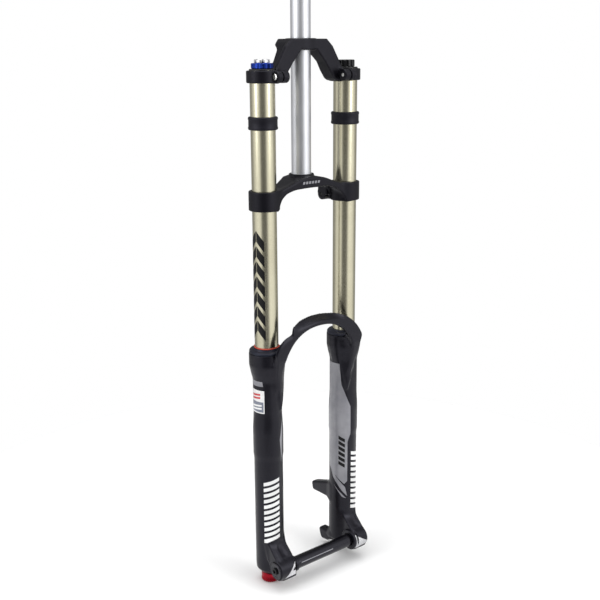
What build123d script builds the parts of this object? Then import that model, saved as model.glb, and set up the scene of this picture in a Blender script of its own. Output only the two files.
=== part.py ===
from build123d import *
import os
from math import cos, radians, sin

# Dual-crown suspension fork for a mountain bicycle, in millimetres.
# +X is the rider's left (brake side), -Y is forward, +Z is up along the steerer.
# The origin is on the steerer axis, at the crown race seat on the lower crown.

os.makedirs("parts", exist_ok=True)

# ---- driving dimensions
leg_spacing = 150.0
crown_offset = 10.0
axle_offset = 48.0
axle_drop = 596.0
running_gap = 0.05
body_gap = 0.4

steerer_radius = 14.3
steerer_bore = 11.9
race_seat_radius = 15.05
race_seat_height = 3.0
steerer_top = 265.0

stanchion_radius = 17.5
stanchion_bore = 15.5
stanchion_top = 150.5
stanchion_foot = 214.0

lower_clamp_radius = 22.2
lower_clamp_top = -14.5
lower_clamp_bottom = -43.2
lower_crown_core = 16.0

upper_clamp_radius = 22.0
upper_clamp_top = 149.5
upper_clamp_bottom = 132.9
upper_core_bottom = 176.5
upper_core_top = 191.0

leg_radius = 22.0
leg_bore = 19.1
leg_floor = 2.0
leg_bottom = -20.6
cup_radius = 26.6
cup_top = 343.0
seal_bore = 22.0
seal_bore_bottom = 323.0
seal_lip_top = 350.8

axle_radius = 10.0
dropout_inner = 55.0
dropout_outer = 92.0
shaft_radius = 5.0
post_spacing = 74.2

# ---- places worked out from them
side_x = {"right": -leg_spacing / 2, "left": leg_spacing / 2}
leg_y = -crown_offset
axle_y = -axle_offset
axle_z = -axle_drop


def up(height):
    """Row height of a level given as a height above the axle."""
    return height - axle_drop


def side_point(forward, height):
    """Point of a YZ sketch, from the distance ahead of the leg axis and the height above the axle."""
    return (leg_y - forward, up(height))


def leg_plane(x):
    """Vertical plane through a leg's axis: local X is the radius and local Y the height."""
    return Plane(origin=(x, leg_y, 0), x_dir=(1, 0, 0), z_dir=(0, -1, 0))


def leg_axis(x):
    return Axis((x, leg_y, 0), (0, 0, 1))


def save(builder, name):
    builder.part.label = name
    export_step(builder.part, f"parts/{name}.step")


def save_group(builders, name):
    with BuildPart() as group:
        for builder in builders:
            add(builder.part)
    save(group, name)


def turned(x, points):
    """Solid turned about a leg's axis from (radius, row height) points."""
    with BuildPart() as piece:
        with BuildSketch(leg_plane(x)):
            with BuildLine():
                Polyline(*points, close=True)
            make_face()
        revolve(axis=leg_axis(x))
    return piece


def ring(x, outer, inner, low, high):
    return turned(x, [(inner, low), (outer, low), (outer, high), (inner, high)])


# ---- steerer, pressed into the lower crown
with BuildPart() as steerer_tube:
    with BuildSketch(Plane.XY.offset(-lower_crown_core)):
        Circle(race_seat_radius)
    extrude(amount=lower_crown_core + race_seat_height)
    with BuildSketch(Plane.XY.offset(race_seat_height)):
        Circle(steerer_radius)
    extrude(amount=steerer_top - race_seat_height)
    Hole(steerer_bore)
save(steerer_tube, "steerer_tube")


# ---- stanchions
def stanchion(side):
    x = side_x[side]
    tube = ring(x, stanchion_radius, stanchion_bore, up(stanchion_foot), stanchion_top)
    save(tube, f"stanchion_{side}")


# ---- frame bumpers, rubber rings between the crowns
bumper_bottom = 70.0
bumper_height = 18.0
bumper_radius = 20.8
bumper_round = 2.0


def frame_bumper(side):
    x = side_x[side]
    with BuildPart() as bumper:
        with BuildSketch(Plane((x, leg_y, bumper_bottom))):
            Circle(bumper_radius)
            Circle(stanchion_radius, mode=Mode.SUBTRACT)
        extrude(amount=bumper_height)
        outer_edges = bumper.edges().filter_by(GeomType.CIRCLE).sort_by(SortBy.RADIUS)[-2:]
        fillet(outer_edges, bumper_round)
    save(bumper, f"frame_bumper_{side}")


# ---- lower crown: arched bar between two clamps
barrel_inboard = 28.0
lower_barrel_radius = 8.5
lower_barrel_y = leg_y + 22.0
lower_barrel_z = -34.5
lower_barrel_start = 2.0
lower_web_top = -21.0
lower_web_length = 14.0
lower_slit_offset = 10.0
slit_width = 1.6
bolt_radius = 3.0
bolt_head_radius = 4.6
bolt_head_height = 4.5
bolt_socket = 2.9

with BuildPart() as lower_crown:
    with BuildSketch(Plane.XZ.offset(-20.0)):
        with BuildLine():
            top = Spline((-66, -14.5), (-44, -10.5), (-26, -4), (0, 0), (26, -4), (44, -10.5), (66, -14.5))
            bottom = Spline((66, -43.2), (53.5, -26), (44.5, -20.4), (26, -16.5), (0, -16),
                            (-26, -16.5), (-44.5, -20.4), (-53.5, -26), (-66, -43.2))
            Line(top @ 1, bottom @ 0)
            Line(bottom @ 1, top @ 0)
        make_face()
    extrude(amount=48.0)
    with BuildSketch(Plane.XY.offset(lower_clamp_bottom - 1)) as plan:
        with BuildLine():
            Polyline((-70, -27.5), (70, -27.5), (70, 3), (44, 7), (20, 19), (-20, 19), (-44, 7),
                     (-70, 3), close=True)
        make_face()
        fillet(plan.vertices().group_by(Axis.Y)[-1], 8)
    extrude(amount=50, mode=Mode.INTERSECT)
    for x in side_x.values():
        with BuildSketch(Plane((x, leg_y, lower_clamp_bottom))):
            Circle(lower_clamp_radius)
        extrude(amount=lower_clamp_top - lower_clamp_bottom)
    for x in side_x.values():
        inward = -1 if x > 0 else 1
        barrel_start = x + inward * lower_barrel_start
        barrel_plane = Plane((barrel_start, lower_barrel_y, lower_barrel_z), z_dir=(inward, 0, 0))
        with BuildSketch(barrel_plane):
            Circle(lower_barrel_radius)
        extrude(amount=barrel_inboard - lower_barrel_start)
        web_x = x + inward * (barrel_inboard - lower_web_length / 2)
        with BuildSketch(Plane((web_x, lower_barrel_y - lower_barrel_radius / 2, lower_barrel_z))):
            Rectangle(lower_web_length, lower_barrel_radius * 3)
        extrude(amount=lower_web_top - lower_barrel_z)
    for x in side_x.values():
        inward = -1 if x > 0 else 1
        with BuildSketch(Plane((x, leg_y, lower_clamp_bottom - 1))):
            Circle(stanchion_radius)
        extrude(amount=40, mode=Mode.SUBTRACT)
        slit_x = x + inward * lower_slit_offset
        with BuildSketch(Plane((slit_x, leg_y + 20, lower_clamp_bottom - 1))):
            Rectangle(slit_width, 40)
        extrude(amount=17, mode=Mode.SUBTRACT)
        bolt_plane = Plane((x - inward * 30, lower_barrel_y, lower_barrel_z), z_dir=(inward, 0, 0))
        with BuildSketch(bolt_plane):
            Circle(bolt_head_radius + 0.3)
        extrude(amount=30 + lower_barrel_start + bolt_head_height, mode=Mode.SUBTRACT)
        with BuildSketch(bolt_plane):
            Circle(bolt_radius)
        extrude(amount=70, mode=Mode.SUBTRACT)
    with BuildSketch(Plane.XY.offset(-lower_crown_core - 1)):
        Circle(race_seat_radius)
    extrude(amount=30, mode=Mode.SUBTRACT)
save(lower_crown, "lower_crown")


# ---- upper crown: raised centre block, two sloping arms and two clamps
upper_barrel_radius = 8.3
upper_barrel_y = leg_y - 22.5
upper_barrel_z = (upper_clamp_top + upper_clamp_bottom) / 2
upper_barrel_start = 5.0
upper_barrel_end = 25.0
upper_slit_offset = 14.0
stem_barrel_y = 20.5
stem_barrel_radius = 7.25
stem_barrel_half = 10.0
stem_barrel_z = (upper_core_top + upper_core_bottom) / 2
arm_rear_cut = [(13, 190), (6.5, 179), (1.5, 160), (4, 148), (4, 130), (20, 130), (20, 190)]
steerer_clamp_radius = 20.5

with BuildPart() as upper_crown:
    with BuildSketch(Plane.XZ.offset(-12.5)) as front_view:
        with BuildLine():
            Polyline((-32, 191), (32, 191), (42.7, 181), (56, 159), (62, 149.5), (70, 149.5), (70, 132.9),
                     (50, 132.9), (45, 136), (29, 159), (13.5, 176.5), (-13.5, 176.5), (-29, 159),
                     (-45, 136), (-50, 132.9), (-70, 132.9), (-70, 149.5), (-62, 149.5), (-56, 159),
                     (-42.7, 181), close=True)
        make_face()
        soft_corners = front_view.vertices().filter_by(lambda v: abs(v.X) < 43 and 170 < v.Z < 185)
        fillet(soft_corners, 5)
    extrude(amount=33.5)
    with BuildSketch(Plane.YZ.offset(-leg_spacing / 2)):
        with BuildLine():
            Polyline(*arm_rear_cut, close=True)
        make_face()
    extrude(amount=leg_spacing, mode=Mode.SUBTRACT)
    for x in side_x.values():
        with BuildSketch(Plane((x, leg_y, upper_clamp_bottom))):
            Circle(upper_clamp_radius)
        extrude(amount=upper_clamp_top - upper_clamp_bottom)
    for x in side_x.values():
        inward = -1 if x > 0 else 1
        barrel_start = x + inward * upper_barrel_start
        barrel_plane = Plane((barrel_start, upper_barrel_y, upper_barrel_z), z_dir=(inward, 0, 0))
        with BuildSketch(barrel_plane):
            Circle(upper_barrel_radius)
        extrude(amount=upper_barrel_end - upper_barrel_start)
    with BuildSketch(Plane((-stem_barrel_half, stem_barrel_y, stem_barrel_z), z_dir=(1, 0, 0))):
        Circle(stem_barrel_radius)
    extrude(amount=2 * stem_barrel_half)
    with BuildSketch(Plane.XY.offset(upper_core_bottom)):
        Circle(steerer_clamp_radius)
        with Locations((0, 12)):
            Rectangle(2 * stem_barrel_half, 17)
    extrude(amount=upper_core_top - upper_core_bottom)
    for x in side_x.values():
        inward = -1 if x > 0 else 1
        with BuildSketch(Plane((x, leg_y, upper_clamp_bottom - 1))):
            Circle(stanchion_radius)
        extrude(amount=40, mode=Mode.SUBTRACT)
        slit_x = x + inward * upper_slit_offset
        with BuildSketch(Plane((slit_x, leg_y - 20, upper_clamp_bottom - 1))):
            Rectangle(slit_width, 30)
        extrude(amount=40, mode=Mode.SUBTRACT)
        bolt_plane = Plane((x - inward * 30, upper_barrel_y, upper_barrel_z), z_dir=(inward, 0, 0))
        with BuildSketch(bolt_plane):
            Circle(bolt_head_radius + 0.3)
        extrude(amount=30 + upper_barrel_start + bolt_head_height, mode=Mode.SUBTRACT)
        with BuildSketch(bolt_plane):
            Circle(bolt_radius)
        extrude(amount=70, mode=Mode.SUBTRACT)
    with BuildSketch(Plane.XY.offset(upper_core_bottom - 1)):
        Circle(steerer_radius)
    extrude(amount=20, mode=Mode.SUBTRACT)
    with BuildSketch(Plane.XY.offset(upper_core_bottom - 1)):
        with Locations((0, 22)):
            Rectangle(slit_width, 20)
    extrude(amount=20, mode=Mode.SUBTRACT)
    stem_bolt_plane = Plane((-stem_barrel_half, stem_barrel_y, stem_barrel_z), z_dir=(1, 0, 0))
    with BuildSketch(stem_bolt_plane):
        Circle(bolt_head_radius + 0.3)
    extrude(amount=bolt_head_height, mode=Mode.SUBTRACT)
    with BuildSketch(stem_bolt_plane):
        Circle(bolt_radius)
    extrude(amount=2 * stem_barrel_half, mode=Mode.SUBTRACT)
save(upper_crown, "upper_crown")


# ---- socket-head bolts along X
def socket_bolt(head_plane, length):
    """Socket-head bolt: its head starts on the plane and its shank follows the plane's normal."""
    with BuildPart() as bolt:
        with BuildSketch(head_plane):
            Circle(bolt_head_radius)
        extrude(amount=bolt_head_height)
        with BuildSketch(head_plane.offset(bolt_head_height)):
            Circle(bolt_radius)
        extrude(amount=length)
        with BuildSketch(head_plane):
            RegularPolygon(bolt_socket, 6)
        extrude(amount=bolt_head_height - 1.5, mode=Mode.SUBTRACT)
    return bolt


def pinch_bolts(name, y, z, start, length):
    bolts = []
    for x in side_x.values():
        inward = -1 if x > 0 else 1
        bolts.append(socket_bolt(Plane((x + inward * start, y, z), z_dir=(inward, 0, 0)), length))
    save_group(bolts, name)


pinch_bolts("lower_crown_pinch_bolts", lower_barrel_y, lower_barrel_z, lower_barrel_start,
            barrel_inboard - lower_barrel_start - bolt_head_height - 1)
pinch_bolts("upper_crown_pinch_bolts", upper_barrel_y, upper_barrel_z, upper_barrel_start,
            upper_barrel_end - upper_barrel_start - bolt_head_height)
steerer_clamp_bolt = socket_bolt(stem_bolt_plane, 2 * stem_barrel_half - bolt_head_height - 1)
save(steerer_clamp_bolt, "steerer_clamp_bolt")


# ---- damper side, at the top of the right leg
cap_plug_bottom = 128.0
cap_flange_top = 151.6
cap_stem_radius = 6.0
spindle_radius = 3.0
blue_knob_low = 152.0
blue_knob_high = 159.2
silver_knob_low = 159.6
silver_knob_high = 164.2
right_x = side_x["right"]
left_x = side_x["left"]

damper_top_cap = turned(right_x, [
    (spindle_radius + running_gap, cap_plug_bottom), (stanchion_bore, cap_plug_bottom),
    (stanchion_bore, stanchion_top), (16.6, stanchion_top), (16.6, cap_flange_top),
    (cap_stem_radius, cap_flange_top), (cap_stem_radius, blue_knob_high),
    (spindle_radius + running_gap, blue_knob_high)])
save(damper_top_cap, "damper_top_cap")

compression_damper = turned(right_x, [
    (0, 26), (15.2, 26), (15.2, 38), (7, 38), (7, 46), (12.6, 46), (12.6, 118), (7, 118),
    (7, cap_plug_bottom), (0, cap_plug_bottom)])
save(compression_damper, "compression_damper")


def fluted_disc(x, radius, flutes, flute_radius, flute_depth, low, high, bore):
    """Round knob with evenly spaced flutes around its rim."""
    with BuildPart() as knob:
        with BuildSketch(Plane((x, leg_y, low))):
            Circle(radius)
            with PolarLocations(radius + flute_radius - flute_depth, flutes):
                Circle(flute_radius, mode=Mode.SUBTRACT)
            if bore > 0:
                Circle(bore, mode=Mode.SUBTRACT)
        extrude(amount=high - low)
        chamfer(knob.faces().sort_by(Axis.Z)[-1].outer_wire().edges(), 0.6)
    return knob


high_speed_knob = fluted_disc(right_x, 15.5, 8, 3.2, 1.6, blue_knob_low, blue_knob_high,
                              cap_stem_radius + running_gap)
save(high_speed_knob, "high_speed_compression_knob")

silver_disc = fluted_disc(right_x, 11.2, 6, 2.6, 2.4, silver_knob_low, silver_knob_high, 0)
with BuildPart() as low_speed_knob:
    add(silver_disc.part)
    with BuildSketch(Plane((right_x, leg_y, cap_plug_bottom + 2))):
        Circle(spindle_radius)
    extrude(amount=silver_knob_low - cap_plug_bottom - 2)
save(low_speed_knob, "low_speed_compression_knob")

# ---- spring side, at the top of the left leg
spring_cap_top = 161.7
spring_cap_radius = 13.6
with BuildPart() as spring_top_cap:
    with BuildSketch(Plane((left_x, leg_y, cap_plug_bottom))):
        Circle(stanchion_bore)
    extrude(amount=stanchion_top - cap_plug_bottom)
    with BuildSketch(Plane((left_x, leg_y, stanchion_top))):
        Circle(16.6)
    extrude(amount=cap_flange_top - stanchion_top)
    with BuildSketch(Plane((left_x, leg_y, cap_flange_top))):
        RegularPolygon(spring_cap_radius, 12)
    extrude(amount=spring_cap_top - cap_flange_top)
    with BuildSketch(Plane((left_x, leg_y, spring_cap_top))):
        RegularPolygon(7.0, 6)
    extrude(amount=-5.0, mode=Mode.SUBTRACT)
save(spring_top_cap, "spring_top_cap")

spacer_bottom = 100.0
save(ring(left_x, 14.8, 11.0, spacer_bottom, cap_plug_bottom), "preload_spacer")

# ---- coil spring, between the plunger and the spacer
plunger_low = 240.0
plunger_high = 258.0
coil_radius = 11.8
wire_radius = 2.3
coil_turns = 20
coil_low = up(plunger_high) + wire_radius + 0.1
coil_high = spacer_bottom - wire_radius - 0.1
with BuildPart() as coil_spring:
    with BuildLine() as coil:
        Helix(pitch=(coil_high - coil_low) / coil_turns, height=coil_high - coil_low, radius=coil_radius,
              center=(left_x, leg_y, coil_low))
    with BuildSketch(Plane(origin=coil.line @ 0, z_dir=coil.line % 0)):
        Circle(wire_radius)
    sweep(is_frenet=True)
save(coil_spring, "coil_spring")

# ---- inner ends of the stanchions
ring_low = 215.0
ring_high = 216.4
seal_head_high = 232.0
shaft_hole = shaft_radius + running_gap
save(ring(right_x, stanchion_bore, shaft_hole, up(ring_high), up(seal_head_high)), "damper_seal_head")
save(ring(left_x, stanchion_bore, shaft_hole, up(ring_high), up(seal_head_high)), "spring_base_plate")
save_group([ring(x, stanchion_bore, 12.6, up(ring_low), up(ring_high)) for x in side_x.values()],
           "stanchion_retaining_rings")

# ---- shafts that stand on the floors of the lower legs
foot_flange_radius = 8.5
foot_flange_height = 5.0
foot_thread_radius = 4.0
foot_thread_depth = 22.0
rod_radius = 1.5
rod_hole = 2.0
topout_low = seal_head_high + body_gap
topout_high = topout_low + 6.0
rebound_piston_high = 252.0

rebound_shaft = turned(right_x, [
    (foot_thread_radius, up(leg_floor)), (foot_flange_radius, up(leg_floor)),
    (foot_flange_radius, up(leg_floor + foot_flange_height)),
    (shaft_radius, up(leg_floor + foot_flange_height)), (shaft_radius, up(rebound_piston_high)),
    (rod_hole, up(rebound_piston_high)), (rod_hole, up(leg_floor + foot_thread_depth)),
    (foot_thread_radius, up(leg_floor + foot_thread_depth))])
save(rebound_shaft, "rebound_shaft")
save(ring(right_x, stanchion_bore - 0.3, shaft_radius, up(topout_high), up(rebound_piston_high)),
     "rebound_piston")

spring_shaft = turned(left_x, [
    (foot_thread_radius, up(leg_floor)), (foot_flange_radius, up(leg_floor)),
    (foot_flange_radius, up(leg_floor + foot_flange_height)),
    (shaft_radius, up(leg_floor + foot_flange_height)), (shaft_radius, up(plunger_high)),
    (0, up(plunger_high)), (0, up(leg_floor + foot_thread_depth)),
    (foot_thread_radius, up(leg_floor + foot_thread_depth))])
save(spring_shaft, "spring_shaft")
save(ring(left_x, stanchion_bore - 0.5, shaft_radius, up(plunger_low), up(plunger_high)), "spring_plunger")

save_group([ring(x, 10.0, shaft_radius, up(topout_low), up(topout_high)) for x in side_x.values()],
           "top_out_bumpers")

bottomout_low = leg_floor + foot_flange_height
save_group([ring(x, 12.0, shaft_radius, up(bottomout_low), up(bottomout_low + 5)) for x in side_x.values()],
           "bottom_out_bumpers")

# ---- lower legs: one casting
bulge_radius = 23.0
neck_radius = 21.6
leg_outline = [
    (0, leg_bottom), (16, leg_bottom), (leg_radius, leg_bottom + 9), (leg_radius, 172), (bulge_radius, 184),
    (bulge_radius, 217), (neck_radius, 250), (neck_radius, 300), (24.6, 314), (cup_radius, 327),
    (cup_radius, cup_top), (0, cup_top)]
arch_half_width = 68.0
arch_top = 376.5
arch_centre = 306.0
arch_foot = 292.0

# Half outlines of the arch's crest, from the centre outwards, at three distances ahead of the legs.
arch_sections = {
    21: [(0, 391), (30, 384.5), (50, 372), (69.7, 356), (78, 345.5), (88, 325)],
    33: [(0, 385), (30, 382.5), (50, 382), (69.7, 368), (78, 357.5), (90, 330)],
    37: [(0, 383), (32, 377.5), (56, 365), (75, 355), (84, 341), (89, 325)],
}
arch_side_view = [(15, 285), (22, 292), (36, 338), (38, 372), (38, 395), (15, 395)]
arch_root_trim = [(70, 270), (76, 292), (88, 318), (96, 340), (96, 400), (110, 400), (110, 270)]


def arch_section(forward, crest):
    """Front view of the arch at a distance ahead of the legs."""
    with BuildSketch(Plane.XZ.offset(forward - leg_y)) as section:
        with BuildLine():
            left_half = [(x, up(height)) for x, height in crest]
            right_half = [(-x, z) for x, z in reversed(left_half[1:])]
            crest_line = Spline(*(right_half + left_half))
            Line(crest_line @ 1, (90, up(arch_foot)))
            Line((90, up(arch_foot)), (arch_half_width, up(arch_foot)))
            Line((arch_half_width, up(arch_foot)), (arch_half_width, up(arch_centre)))
            Spline((arch_half_width, up(arch_centre)), (59.8, up(344.1)), (36.7, up(368)), (0, up(arch_top)),
                   (-36.7, up(368)), (-59.8, up(344.1)), (-arch_half_width, up(arch_centre)),
                   tangents=((0, 1), (0, -1)))
            Line((-arch_half_width, up(arch_centre)), (-arch_half_width, up(arch_foot)))
            Line((-arch_half_width, up(arch_foot)), (-90, up(arch_foot)))
            Line((-90, up(arch_foot)), crest_line @ 0)
        make_face()
    return section.sketch


with BuildPart() as arch:
    loft([arch_section(forward, crest) for forward, crest in arch_sections.items()], ruled=True)
    with BuildSketch(Plane.YZ.offset(-100)):
        with BuildLine():
            Polyline(*[side_point(*point) for point in arch_side_view], close=True)
        make_face()
    extrude(amount=200, mode=Mode.INTERSECT)
    for side_sign in (-1, 1):
        with BuildSketch(Plane.XZ):
            with BuildLine():
                Polyline(*[(side_sign * x, up(height)) for x, height in arch_root_trim], close=True)
            make_face()
        extrude(amount=60, mode=Mode.SUBTRACT)

# Dropout lug, in side view: runs forward and down from the leg to the axle.
lug_outline = [(-8, 42), (10, 42), (37.4, 18.8), (46.3, 10.5), (50.5, 2), (51, -7), (48, -15), (42, -18.5),
               (34, -18.5), (16, -14), (8, -10), (-8, -10)]
lug_inner = 60.0
lug_outer = {"right": 86.0, "left": 84.0}
boss_outer = {"right": dropout_outer, "left": 84.0}
boss_radius = 15.6
post_x = 62.0
post_half_width = 7.6
post_tilt = radians(14.3)
post_hole_radius = 2.6
post_hole_depth = 14.0
post_low_hole = (-37.1, -13.4)
post_short_lip = 5.5
post_long_lip = 12.0
low_post_root = [(-17, -5), (-10, -5), (-10, -20), (-18, -26), (-31, -27)]
high_post_root = [(-17, 84), (-10, 84), (-10, 53), (-17, 55)]


def post_point(along, out):
    """Point of the brake posts' face line: along it upwards, and out from it rearwards."""
    forward = post_low_hole[0] - along * sin(post_tilt) - out * cos(post_tilt)
    height = post_low_hole[1] + along * cos(post_tilt) - out * sin(post_tilt)
    return side_point(forward, height)


with BuildPart() as lower_legs:
    for x in side_x.values():
        with BuildSketch(leg_plane(x)):
            with BuildLine():
                Polyline(*[(radius, up(height)) for radius, height in leg_outline], close=True)
            make_face()
        revolve(axis=leg_axis(x))
    add(arch.part)
    for side, x in side_x.items():
        outward = 1 if x > 0 else -1
        with BuildSketch(Plane.YZ.offset(outward * lug_inner)):
            with BuildLine():
                Polyline(*[side_point(*point) for point in lug_outline], close=True)
            make_face()
        extrude(amount=outward * (lug_outer[side] - lug_inner))
        with BuildSketch(Plane((outward * dropout_inner, axle_y, axle_z), z_dir=(outward, 0, 0))):
            Circle(boss_radius)
        extrude(amount=boss_outer[side] - dropout_inner)
    with BuildSketch(Plane.YZ.offset(post_x - post_half_width)):
        with BuildLine():
            Polyline(post_point(-post_long_lip, 0), post_point(post_short_lip, 0),
                     *[side_point(*point) for point in low_post_root], close=True)
        make_face()
        with BuildLine():
            Polyline(post_point(post_spacing - post_short_lip, 0),
                     post_point(post_spacing + post_long_lip, 0),
                     *[side_point(*point) for point in high_post_root], close=True)
        make_face()
    extrude(amount=2 * post_half_width)
    for x in side_x.values():
        with BuildSketch(leg_plane(x)):
            with BuildLine():
                Polyline((0, up(leg_floor)), (leg_bore, up(leg_floor)), (leg_bore, up(seal_bore_bottom)),
                         (seal_bore, up(seal_bore_bottom)), (seal_bore, up(cup_top)),
                         (cup_radius + 0.6, up(cup_top)), (cup_radius + 0.6, up(400)), (0, up(400)),
                         close=True)
            make_face()
        revolve(axis=leg_axis(x), mode=Mode.SUBTRACT)
        with BuildSketch(Plane((x, leg_y, up(leg_bottom - 1)))):
            Circle(foot_thread_radius)
        extrude(amount=40, mode=Mode.SUBTRACT)
    with BuildSketch(Plane((-100, axle_y, axle_z), z_dir=(1, 0, 0))):
        Circle(axle_radius + running_gap)
    extrude(amount=200, mode=Mode.SUBTRACT)
    for along in (0, post_spacing):
        hole_y, hole_z = post_point(along, 1)
        into_post = (0, -cos(post_tilt), sin(post_tilt))
        hole_plane = Plane((post_x, hole_y, hole_z), x_dir=(1, 0, 0), z_dir=into_post)
        with BuildSketch(hole_plane):
            Circle(post_hole_radius)
        extrude(amount=post_hole_depth + 1, mode=Mode.SUBTRACT)
save(lower_legs, "lower_legs")


# ---- seals, foam rings and bushings in the legs
seal_inner = stanchion_radius + running_gap


def leg_seals(side):
    x = side_x[side]
    wiper = turned(x, [
        (seal_inner, up(330)), (seal_bore, up(330)), (seal_bore, up(cup_top)), (26, up(cup_top)),
        (26, up(346.5)), (24.4, up(348.2)), (19.2, up(seal_lip_top)), (seal_inner, up(seal_lip_top))])
    save(wiper, f"wiper_seal_{side}")
    save(ring(x, seal_bore, seal_inner, up(seal_bore_bottom), up(330)), f"foam_ring_{side}")
    save(ring(x, leg_bore, seal_inner, up(302), up(321)), f"upper_bushing_{side}")
    save(ring(x, leg_bore, seal_inner, up(222), up(242)), f"lower_bushing_{side}")


for side in side_x:
    stanchion(side)
    frame_bumper(side)
    leg_seals(side)
save(ring(right_x, 18.9, seal_inner, up(seal_lip_top), up(seal_lip_top + 1.8)), "travel_o_ring")

# ---- foot bolts under the legs
washer_height = 1.0
washer_radius = 7.4
foot_head_radius = 7.0
foot_head_height = 6.0


def foot_bolt(name, x, bore):
    head_top = leg_bottom - washer_height
    with BuildPart() as bolt:
        with BuildSketch(Plane((x, leg_y, up(head_top - foot_head_height)))):
            RegularPolygon(foot_head_radius, 6)
        extrude(amount=foot_head_height)
        with BuildSketch(Plane((x, leg_y, up(head_top)))):
            Circle(foot_thread_radius)
        extrude(amount=leg_floor + foot_thread_depth - head_top)
        if bore > 0:
            with BuildSketch(Plane((x, leg_y, up(head_top - foot_head_height)))):
                Circle(bore)
            extrude(amount=60, mode=Mode.SUBTRACT)
    save(bolt, name)


foot_bolt("foot_bolt_right", right_x, rod_hole)
foot_bolt("foot_bolt_left", left_x, 0)
save_group([ring(x, washer_radius, foot_thread_radius, up(leg_bottom - washer_height), up(leg_bottom))
            for x in side_x.values()], "crush_washers")

# ---- rebound adjuster under the right leg
knob_low = -36.4
knob_groove_low = -31.6
knob_groove_high = -30.8
knob_high = leg_bottom - 1.4
knob_radius = 14.3
with BuildPart() as rebound_knob:
    with BuildSketch(Plane((right_x, leg_y, up(knob_low)))):
        Circle(knob_radius)
        with PolarLocations(knob_radius + 1.2, 16):
            Circle(1.9, mode=Mode.SUBTRACT)
    extrude(amount=knob_groove_low - knob_low)
    with BuildSketch(Plane((right_x, leg_y, up(knob_groove_low)))):
        Circle(knob_radius - 1.2)
    extrude(amount=knob_groove_high - knob_groove_low)
    with BuildSketch(Plane((right_x, leg_y, up(knob_groove_high)))):
        Circle(knob_radius - 0.2)
    extrude(amount=knob_high - knob_groove_high)
    with BuildSketch(Plane((right_x, leg_y, up(knob_high)))):
        Circle(washer_radius + 0.6)
    extrude(amount=-7.6, mode=Mode.SUBTRACT)
    with BuildSketch(Plane((right_x, leg_y, up(knob_low + 1.5)))):
        Circle(rod_radius)
    extrude(amount=20, mode=Mode.SUBTRACT)
save(rebound_knob, "rebound_knob")
with BuildPart() as adjuster_rod:
    with BuildSketch(Plane((right_x, leg_y, up(knob_low + 1.5)))):
        Circle(rod_radius)
    extrude(amount=250)
save(adjuster_rod, "rebound_adjuster_rod")

# ---- through axle, drawn out towards the right
axle_left_end = 88.0
axle_head_radius = 13.8
axle_head_width = 1.6
axle_bore = 7.0
expander_radius = 5.4
expander_depth = 24.0
expander_proud = 2.4
expander_hex = 3.4
with BuildPart() as through_axle:
    with BuildSketch(Plane((-dropout_outer - axle_head_width, axle_y, axle_z), z_dir=(1, 0, 0))):
        Circle(axle_head_radius)
    extrude(amount=axle_head_width)
    with BuildSketch(Plane((-dropout_outer, axle_y, axle_z), z_dir=(1, 0, 0))):
        Circle(axle_radius)
    extrude(amount=dropout_outer + axle_left_end)
    with BuildSketch(Plane((-dropout_outer - axle_head_width, axle_y, axle_z), z_dir=(1, 0, 0))):
        Circle(expander_radius + running_gap)
    extrude(amount=expander_depth, mode=Mode.SUBTRACT)
    bore_start = expander_depth - dropout_outer - axle_head_width
    with BuildSketch(Plane((bore_start, axle_y, axle_z), z_dir=(1, 0, 0))):
        Circle(axle_bore)
    extrude(amount=200, mode=Mode.SUBTRACT)
save(through_axle, "through_axle")

with BuildPart() as axle_expander:
    expander_face = -dropout_outer - axle_head_width - expander_proud
    expander_plane = Plane((expander_face, axle_y, axle_z), z_dir=(1, 0, 0))
    with BuildSketch(expander_plane):
        Circle(expander_radius)
    extrude(amount=expander_depth + expander_proud - 1)
    with BuildSketch(expander_plane):
        RegularPolygon(expander_hex, 6)
    extrude(amount=6, mode=Mode.SUBTRACT)
save(axle_expander, "axle_expander_bolt")
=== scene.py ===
from math import atan2, cos, pi, radians, sin

import bmesh
import bpy
import numpy as np
import openvdb
from mathutils import Matrix, Vector


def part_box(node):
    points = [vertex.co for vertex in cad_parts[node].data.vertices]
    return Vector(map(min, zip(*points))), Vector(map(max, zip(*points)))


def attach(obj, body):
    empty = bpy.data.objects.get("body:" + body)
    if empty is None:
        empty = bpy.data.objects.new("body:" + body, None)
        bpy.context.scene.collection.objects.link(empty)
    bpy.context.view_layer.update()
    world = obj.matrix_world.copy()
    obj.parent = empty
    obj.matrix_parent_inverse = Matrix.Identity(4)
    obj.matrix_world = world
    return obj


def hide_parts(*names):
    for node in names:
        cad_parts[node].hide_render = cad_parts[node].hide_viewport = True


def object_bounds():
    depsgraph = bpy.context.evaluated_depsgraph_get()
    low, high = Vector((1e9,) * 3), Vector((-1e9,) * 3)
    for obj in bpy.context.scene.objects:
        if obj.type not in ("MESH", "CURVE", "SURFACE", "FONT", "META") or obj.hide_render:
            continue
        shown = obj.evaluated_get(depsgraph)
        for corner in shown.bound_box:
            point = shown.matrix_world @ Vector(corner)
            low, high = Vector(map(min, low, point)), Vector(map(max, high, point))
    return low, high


# Looks of the dual-crown suspension fork. Shapes are worked out in millimetres in the row frame:
# +X is the rider's left, -Y is forward, +Z is up. "forward" is measured ahead of the leg axis and
# "height" above the axle.

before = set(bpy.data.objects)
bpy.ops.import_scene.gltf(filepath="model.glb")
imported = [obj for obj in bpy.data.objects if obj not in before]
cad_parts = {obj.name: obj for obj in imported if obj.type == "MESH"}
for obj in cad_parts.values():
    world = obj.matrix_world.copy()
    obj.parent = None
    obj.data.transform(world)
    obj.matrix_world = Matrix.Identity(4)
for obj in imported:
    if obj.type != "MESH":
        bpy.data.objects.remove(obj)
cad_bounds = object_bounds()
MM = 0.001


def box(node):
    """Lowest and highest corner of a CAD node, in millimetres."""
    low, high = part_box(node)
    return np.array(low) / MM, np.array(high) / MM


def middle(node):
    low, high = box(node)
    return (low + high) / 2


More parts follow.
